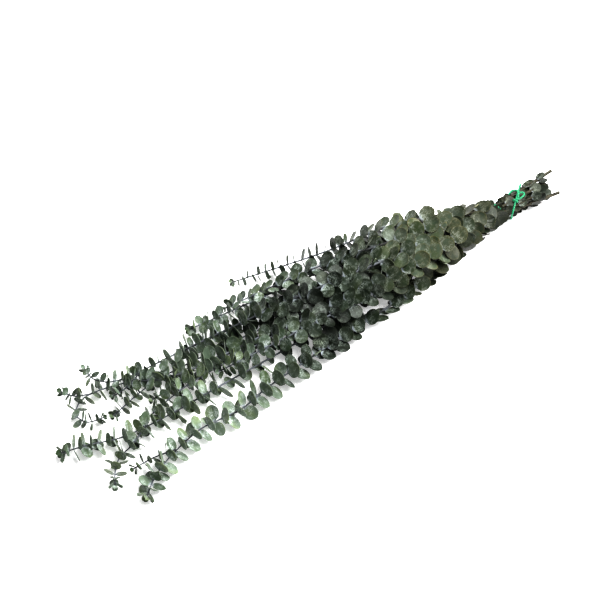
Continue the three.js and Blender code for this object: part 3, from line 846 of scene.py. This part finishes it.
def leaf_material():
    finish = Finish("leaf")
    mark = finish.add("ShaderNodeAttribute", attribute_name="mark")
    marks = finish.add("ShaderNodeSeparateColor")
    finish.feed(marks.inputs[0], mark.outputs["Color"])
    # the mark's grey, bloom and alpha carry painted shade on covered leaves: grey and bloom lowered, and
    # the alpha, the leaf's age, raised
    grey, olive, bloom = marks.outputs
    age = mark.outputs["Alpha"]
    lines, rim, along = leaf_lines(finish, finish.add("ShaderNodeUVMap", uv_map="blade").outputs[0])
    clouds = finish.noise(150.0, 3.0, 0.6)
    speckle = finish.noise(700.0, 2.0, 0.7)
    hue = finish.noise(45.0, 1.0)

    # the green under the bloom, darker where painted shade has lowered a covered leaf's grey
    green = finish.mix(finish.ramp(grey, 0.0, 1.0), DEEP_GREEN, GREY_GREEN)
    warmer = finish.mix(1.0, green, WARMER, "MULTIPLY")
    green = finish.mix(finish.ramp(hue, 0.42, 0.72), green, warmer)
    green = finish.mix(finish.times(olive, finish.ramp(clouds, 0.3, 0.6)), green, OLIVE)
    green = finish.mix(finish.times(lines, 0.5), green, VEIN_PALE)
    yellowed = finish.plus(finish.times(olive, 0.6), 0.06)
    green = finish.mix(finish.times(rim, yellowed), green, RIM_YELLOW)

    # the bloom, cloudy, broken by fine speckle, thickest near the stem, and duller with age and with
    # painted shade on covered leaves
    wax = finish.times(finish.ramp(clouds, 0.40, 0.64), finish.plus(finish.ramp(along, 0.95, 0.1), 0.3))
    wax = finish.times(wax, finish.ramp(speckle, 0.40, 0.58))
    wax = finish.times(wax, bloom, True)
    # age and painted shade: old leaves and covered ones are multiplied towards a darker green
    aged_and_shaded = finish.mix(age, green, finish.mix(1.0, green, AGED_AND_SHADED_GREEN, "MULTIPLY"))
    dull = finish.mix(finish.times(age, 0.72), BLOOM, green)
    coat = finish.mix(wax, aged_and_shaded, dull)
    joint = finish.times(finish.ramp(along, 0.22, 0.04), finish.plus(bloom, 0.15, True))
    joint = finish.times(joint, finish.ramp(clouds, 0.32, 0.55))
    finish.feed(finish.shader.inputs["Base Color"], finish.mix(joint, coat, JOINT_BLOOM))

    finish.feed(finish.shader.inputs["Roughness"], finish.plus(finish.times(wax, 0.3), 0.5))
    finish.bump(finish.maths("SUBTRACT", speckle, lines), 0.35, 0.0004)
    set_inputs(finish.shader, Specular_IOR_Level=0.35)
    return finish.material


leaf_finish = leaf_material()
for blade in blades:
    blade.data.materials.append(leaf_finish)
print("made", leaf_finish.name)


# %% [markdown]
# ## Leaves as meshes
#
# Each settled leaf becomes a copy of one of the five blades, stretched to its own length, with
# its own mesh and mark. The leaves of one branch are then joined into one piece.

# %% Copy the blades into place
BLADE_SEED = 40
FOLDED, CURLED = 3, 4  # places of these shapes among the blades
BUD_UNDER = 6  # leaves this near the tip are curled
SHAPE_SHARES = np.array((0.38, 0.42, 0.06, 0.10, 0.04))
HELD_SHIFT = np.array((-0.2, -0.2, 0, 0.2, 0.2))  # what the string's grip adds to the shares
STRAY_WIDTH = 0.36
# How old leaves are at distances from the tie.
AGE_PLACES = (40, 90, 150, 210, 310, 430)
AGES = (0.9, 0.8, 0.5, 0.8, 1, 0)
YOUNG_TIP = 130


def leaf_mark(leaf, chance):
    """How grey, how olive, how much bloom and how old, for one leaf. Leaves covered by others get
    painted shade: less grey and bloom, and more age, so they come out darker.
    """
    from_tie = TIE[0] - leaf["root"][0]
    age = float(np.interp(from_tie, AGE_PLACES, AGES))
    age *= min(1, leaf["from_tip"] / YOUNG_TIP)
    # Painted shade: the more other leaves cover this one, the lower its grey and bloom and the higher
    # its age, so it comes out darker. The darker tip lowers grey and bloom too.
    cover = leaf["cover"] * mix(0.3, 1, age)
    undarkened = (1 - 0.95 * cover) * (1 - leaf["dark"])
    olive = np.clip(1.3 - abs(from_tie - 70) / 140, 0, 1) * (0.25 + 0.75 * chance.random())
    bloom = 1.0
    if not leaf["stray"]:
        bloom = (0.35 + 0.65 * chance.random()) * mix(0.04, 1, undarkened) * (1 - 0.6 * olive)
    grey = mix(0.42 * (1 - age), 1, chance.random()) * undarkened
    return grey, olive, bloom, 0 if leaf["stray"] else mix(age, 1, cover)


def blade_shape(leaf, chance):
    """Which blade a leaf copies."""
    if leaf["stray"]:
        return FOLDED
    if leaf["from_tip"] < BUD_UNDER:
        return CURLED
    held = max(0, 1 - abs(TIE[0] - leaf["root"][0]) / 60)
    return chance.choice(len(SHAPE_SHARES), p=SHAPE_SHARES + held * HELD_SHIFT)


def place_leaf(leaf, chance):
    """A copy of one blade on a leaf's frame, in metres."""
    shape = blade_shape(leaf, chance)
    blade = blades[shape].copy()
    blade.data = blades[shape].data.copy()
    length = 2 * leaf["half"] * MM
    width = length * (0.94 + 0.1 * chance.random()) * (STRAY_WIDTH if leaf["stray"] else 1)
    up = 1 if leaf["face"][2] > 0 else -1
    columns = (*(up * width * leaf["across"]), *(length * leaf["along"]), *(up * length * leaf["face"]))
    turn = Matrix(np.array(columns).reshape(3, 3).T.tolist()).to_4x4()
    blade.data.transform(Matrix.Translation(Vector(leaf["root"] * MM)) @ turn)
    mark = blade.data.attributes.new("mark", "FLOAT_COLOR", "POINT")
    mark.data.foreach_set("color", leaf_mark(leaf, chance) * len(blade.data.vertices))
    bpy.context.scene.collection.objects.link(blade)
    return blade


def join(pieces, name):
    deselect_all()
    for piece in pieces:
        piece.select_set(True)
    bpy.context.view_layer.objects.active = pieces[0]
    bpy.ops.object.join()
    whole = bpy.context.object
    whole.name = name
    whole.data.name = name
    return whole


for number, leaves in enumerate(branch_leaves):
    chance = np.random.default_rng(BLADE_SEED + number)
    foliage = join([place_leaf(leaf, chance) for leaf in leaves], f"leaves_{number + 1:02d}")
    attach(foliage, "root")
    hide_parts(f"branch_{number + 1:02d}")
for blade in blades:
    bpy.data.objects.remove(blade)
print("leaf pieces made")


# %% [markdown]
# ## Stems
#
# A stem is a thin taper, a little swollen at every leaf pair and cut square at its end. Extruding
# a ring hundreds of times would do it, but a curve with a round bevel follows the same line with
# its thickness set point by point, so the stems are curves turned into meshes.

# %% Bark and cut wood
YOUNG_BARK = ((0.030, 0.033, 0.036, 1), (0.12, 0.13, 0.145, 1))
OLD_BARK = ((0.014, 0.013, 0.009, 1), (0.070, 0.064, 0.040, 1))
CUT_WOOD = ((0.30, 0.24, 0.13, 1), (0.55, 0.48, 0.31, 1))


def bark_material():
    finish = Finish("bark")
    stretch = finish.add("ShaderNodeMapping")
    stretch.inputs["Scale"].default_value = (0.25, 1, 1)
    finish.feed(stretch.inputs["Vector"], finish.place)
    streaks = finish.noise(700.0, 4.0, 0.65, where=stretch.outputs[0])
    patches = finish.noise(60.0, 2.0)
    parts = finish.add("ShaderNodeSeparateXYZ")
    finish.feed(parts.inputs[0], finish.place)
    old = finish.ramp(parts.outputs[0], 0.0, 0.27)
    young_bark = finish.mix(finish.ramp(patches, 0.35, 0.65), *YOUNG_BARK)
    old_bark = finish.mix(finish.ramp(streaks, 0.35, 0.65), *OLD_BARK)
    finish.feed(finish.shader.inputs["Base Color"], finish.mix(old, young_bark, old_bark))
    finish.bump(streaks, 0.5, 0.0003)
    set_inputs(finish.shader, Roughness=0.72, Specular_IOR_Level=0.3)
    return finish.material


def cut_wood_material():
    finish = Finish("cut_wood")
    grain = finish.noise(1600.0, 3.0)
    finish.feed(finish.shader.inputs["Base Color"], finish.mix(grain, *CUT_WOOD))
    set_inputs(finish.shader, Roughness=0.85)
    return finish.material


bark = bark_material()
cut_wood = cut_wood_material()


# %% Stems from curves
NODE_SWELL = 1.32
NODE_HALF = 1.3


def stem_stations(length, bare):
    """Distances from the tip for rings of the stem, with a swelling at each leaf pair."""
    stations = [(0.0, 0.5), (length, 1.0)]
    for from_tip in pair_places(length, bare):
        half = min(NODE_HALF, 0.3 * PAIR_GAP_TIP + 0.01 * from_tip)
        stations += [(from_tip - half, 1.0), (from_tip, NODE_SWELL), (from_tip + half, 1.0)]
    return sorted(station for station in stations if 0 <= station[0] <= length)


def model_stem(name, line, root_radius, bare):
    points, _ = line
    length = len(points) - 1.0
    deselect_all()
    bpy.ops.curve.primitive_bezier_curve_add(location=(0, 0, 0))
    stem = bpy.context.object
    stem.name = name
    curve = stem.data
    curve.splines.clear()
    spline = curve.splines.new("POLY")
    stations = stem_stations(length, bare)
    spline.points.add(len(stations) - 1)
    for point, (from_tip, swell) in zip(spline.points, reversed(stations)):
        at = (length - from_tip) / STEP
        place = [np.interp(at, np.arange(len(points)), points[:, k]) * MM for k in range(3)]
        point.co = (*place, 1)
        point.radius = swell * stem_radius(from_tip, length, root_radius)
    curve.dimensions = "3D"
    curve.bevel_depth = MM
    curve.bevel_resolution = 2
    curve.use_fill_caps = True
    bpy.ops.object.convert(target="MESH")
    bpy.ops.object.shade_smooth_by_angle(angle=math.radians(45))
    return bpy.context.object


for number, line in enumerate(stem_lines):
    parts = [model_stem("stem", line, STEM_RADIUS_CUT, bare_end(number))]
    parts += [model_stem("twig", twig_lines[t], TWIG_RADIUS, BARE_TWIG_ROOT)
              for t in range(len(TWIGS)) if TWIGS[t][0] == number]
    stem = join(parts, f"stem_{number + 1:02d}")
    stem.data.materials.clear()
    stem.data.materials.append(bark)
    stem.data.materials.append(cut_wood)
    cut_x = line[0][0][0] * MM
    for face in stem.data.polygons:
        if face.center.x > cut_x - 0.2 * MM and face.normal.x > 0.9:
            face.material_index = 1
    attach(stem, "root")
    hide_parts(f"branch_{number + 1:02d}")
print("stem faces:", len(stem.data.polygons))


# %% [markdown]
# ## The tie
#
# The string is a soft green plastic twine of two plies laid round each other. Its path is made of
# two turns round the bundle, a strand under it that joins them, a knot on top, a small loop and one
# loose end. Each ply is a thin curve that winds along that path, so the twist is real and catches
# the light.

# %% Wind one ply of string along a path
PLY_PITCH = 6.5


def wind_ply(path, phase, radius, name):
    """One ply of the string, winding round a path given in millimetres."""
    ways = np.gradient(path, axis=0)
    ways /= np.linalg.norm(ways, axis=1)[:, None]
    run = np.concatenate([[0], np.cumsum(np.linalg.norm(np.diff(path, axis=0), axis=1))])
    side = np.cross(ways, (0.3, 0.2, 1.0))
    side /= np.linalg.norm(side, axis=1)[:, None]
    other = np.cross(ways, side)
    angle = (2 * math.pi * run / PLY_PITCH + phase)[:, None]
    wound = path + 0.5 * radius * (np.cos(angle) * side + np.sin(angle) * other)
    deselect_all()
    bpy.ops.curve.primitive_bezier_curve_add(location=(0, 0, 0))
    ply = bpy.context.object
    ply.name = name
    ply.data.splines.clear()
    spline = ply.data.splines.new("POLY")
    spline.points.add(len(wound) - 1)
    for point, place in zip(spline.points, wound):
        point.co = (*(place * MM), 1)
    ply.data.dimensions = "3D"
    ply.data.bevel_depth = 0.62 * radius * MM
    ply.data.bevel_resolution = 2
    ply.data.use_fill_caps = True
    bpy.ops.object.convert(target="MESH")
    bpy.ops.object.shade_smooth()
    return bpy.context.object


# %% The string's material
STRING_GREEN = ((0.006, 0.15, 0.065, 1), (0.025, 0.34, 0.165, 1))


def string_material():
    finish = Finish("green_string")
    fibres = finish.noise(900.0, 3.0)
    finish.feed(finish.shader.inputs["Base Color"], finish.mix(fibres, *STRING_GREEN))
    finish.bump(fibres, 0.4, 0.0002)
    set_inputs(finish.shader, Roughness=0.38, Specular_IOR_Level=0.5)
    return finish.material


# %% Make the string
def knot_point(a):
    """A point on a small tangled ring, the knot."""
    x = 2.1 * math.sin(a) + 1.2 * math.sin(2 * a)
    y = 2.1 * math.cos(a) - 1.2 * math.cos(2 * a)
    return KNOT + np.array([x, y, 1.1 * math.sin(3 * a)])


LOOP = ((0, 0, 0.5), (6, -1.6, 2.5), (12.4, 0.2, 2.4), (12.8, 4, 2), (8, 5.6, 1.6), (3.9, 3.4, 0.4))
LOOSE_END = ((0, 0, 0), (4.3, 1.2, 1.6), (9.3, 9.9, 0.6), (6.3, 13.8, -1), (2.3, 13.5, -1),
             (-2.7, 11.2, 0.6))
KNOT_TURNS = [knot_point(a) for a in np.linspace(0, 2 * math.pi, 19)[:-1]]
STRING_PATHS = [
    *STRING_TURNS,
    closed_line(KNOT_TURNS),
    smooth_line(from_knot(*LOOP))[0],
    smooth_line(from_knot(*LOOSE_END))[0],
]
string_finish = string_material()
plies = []
for path in STRING_PATHS:
    plies += [wind_ply(path, phase, CORD_RADIUS, "ply") for phase in (0, math.pi)]
string = join(plies, "string")
string.data.materials.clear()
string.data.materials.append(string_finish)
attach(string, "root")
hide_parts("green_tie")
print("string faces:", len(string.data.polygons))
